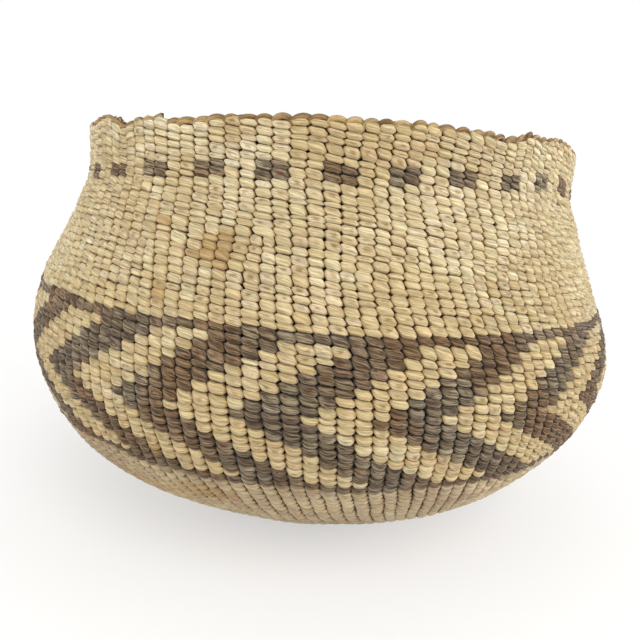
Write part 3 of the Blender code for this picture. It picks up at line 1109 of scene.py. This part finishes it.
def loop_paths():
    """Each warp end: up beside a stitch, over to the right and down inside."""
    _, left, right = columns_at(TOP_LENGTH)
    across, rise, depth = LOOP_FORM.T
    paths = []
    for lower, upper in zip(left, right):
        wide, aside, tall, lift = rng.random(4) - 0.5
        reach = across * (1.0 + LOOP_WIDTH_VARIATION * wide) + LOOP_ASIDE_VARIATION * aside
        angle = 0.5 * (lower + upper) + reach * (upper - lower)
        own_rise = rise * (1.0 + LOOP_RISE_VARIATION * tall) + LOOP_LIFT_VARIATION * lift
        own_rise = own_rise + rises_at(angle, LOOP_RISES)
        paths.append(resample(wall(TOP_LENGTH + own_rise, angle, depth), LOOP_STEPS + 1))
    return paths


warp_lines = warp_paths()
start_lines = start_paths()
diameters = [WARP_DIAMETER] * len(warp_lines) + [START_DIAMETER] * len(start_lines)
warps = cord_piece("warp_cords", warp_lines + start_lines, diameters,
                   cord_form(WARP_STEPS, WARP_SIDES), WARP)
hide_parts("warps")

loop_lines = loop_paths()
loop_shares = LOOP_THINNEST + LOOP_DIAMETER_RANGE * rng.random(len(loop_lines))
loops = cord_piece("rim_loops", loop_lines, LOOP_DIAMETER * loop_shares,
                   cord_form(LOOP_STEPS, LOOP_SIDES), RIM)
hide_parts("rim_warp_ends")


# Floor, light and camera

# Half width of the floor, and from where to where its shadow fades, in metres, with the
# share of plain white laid over it near by and further out
FLOOR_HALF = 3.0
SHADOW_REACH = (0.09, 0.30)
SHADOW_VEIL = (0.5, 1.0)
# Soft round lamps: place and diameter in metres, and power in watts
LAMPS = {
    "key": ((0.30, -0.75, 0.75), 0.6, 4.5),
    "fill": ((-0.80, -0.50, 0.40), 0.8, 2.8),
    "side": ((0.95, -0.25, 0.30), 0.7, 3.8),
}
LAMP_TARGET = (0.0, 0.0, 0.05)
ROOM_LIGHT = 0.85

# The photograph's camera, with distances in mm
CAMERA_DISTANCE = 175.7
CAMERA_HEIGHT = 88.1
CAMERA_PITCH = math.radians(12.0)
CAMERA_ROLL = math.radians(3.75)
FOCAL_PIXELS = 577.3
PICTURE_PIXELS = 640.0
SENSOR_WIDTH = 36.0
NEAR_CLIP = 10.0


def looked_at(tree):
    """1 for what the camera sees, directly or in a gloss, and 0 for what lights things."""
    path = add(tree, "LightPath").outputs
    return add(tree, "Math", [path["Is Camera Ray"], path["Is Glossy Ray"]], **LARGER)


def floor():
    """White paper: it shows the bowl's shadow near by, and pure white further out."""
    bm = bmesh.new()
    bmesh.ops.create_grid(bm, x_segments=1, y_segments=1, size=FLOOR_HALF)
    mesh = bpy.data.meshes.new("floor")
    bm.to_mesh(mesh)
    bm.free()
    material = bpy.data.materials.new("matt_white_paper")
    material.use_nodes = True
    tree = material.node_tree
    paper = tree.nodes["Principled BSDF"]
    plug(paper, {"Base Color": linear("#F4F3F1"), "Roughness": 0.9})
    place = add(tree, "TexCoord").outputs["Object"]
    away = add(tree, "VectorMath", [place], operation="LENGTH")
    veil = add(tree, "MapRange", [away, *SHADOW_REACH, *SHADOW_VEIL], **SMOOTH)
    share = add(tree, "Math", [looked_at(tree), veil], **TIMES)
    white = add(tree, "Emission", {"Strength": 1.0})
    mixed = add(tree, "MixShader", [share, paper, white])
    plug(tree.nodes["Material Output"], {"Surface": mixed})
    mesh.materials.append(material)
    ground = bpy.data.objects.new("floor", mesh)
    bpy.context.scene.collection.objects.link(ground)


def soft_lamp(name, place, size, power):
    """A round lamp that points at the middle of the bowl."""
    data = bpy.data.lights.new(name, "AREA")
    data.shape = "DISK"
    data.size = size
    data.energy = power
    lamp = bpy.data.objects.new(name, data)
    bpy.context.scene.collection.objects.link(lamp)
    lamp.location = place
    aim = Vector(LAMP_TARGET) - Vector(place)
    lamp.rotation_euler = aim.to_track_quat("-Z", "Y").to_euler()


def room(strength):
    """Even light from all round, seen as plain white by the camera."""
    world = bpy.data.worlds.new("pale_room")
    bpy.context.scene.world = world
    world.use_nodes = True
    tree = world.node_tree
    levels = {"Value": looked_at(tree), "To Min": strength, "To Max": 1.0}
    level = add(tree, "MapRange", levels)
    plug(tree.nodes["Background"], {"Color": (1.0, 1.0, 1.0, 1.0), "Strength": level})


def camera():
    """The camera, placed, tilted and rolled as the photograph shows."""
    data = bpy.data.cameras.new("camera")
    data.lens = FOCAL_PIXELS / PICTURE_PIXELS * SENSOR_WIDTH
    data.sensor_width = SENSOR_WIDTH
    data.clip_start = NEAR_CLIP * MM
    eye = bpy.data.objects.new("camera", data)
    bpy.context.scene.collection.objects.link(eye)
    place = Matrix.Translation((0.0, -CAMERA_DISTANCE * MM, CAMERA_HEIGHT * MM))
    look = Matrix.Rotation(0.5 * math.pi - CAMERA_PITCH, 4, "X")
    roll = Matrix.Rotation(CAMERA_ROLL, 4, "Z")
    eye.matrix_world = place @ look @ roll
    bpy.context.scene.camera = eye


floor()
for name, lamp in LAMPS.items():
    soft_lamp(name, *lamp)
room(ROOM_LIGHT)
camera()
bpy.context.scene.view_settings.view_transform = "Standard"
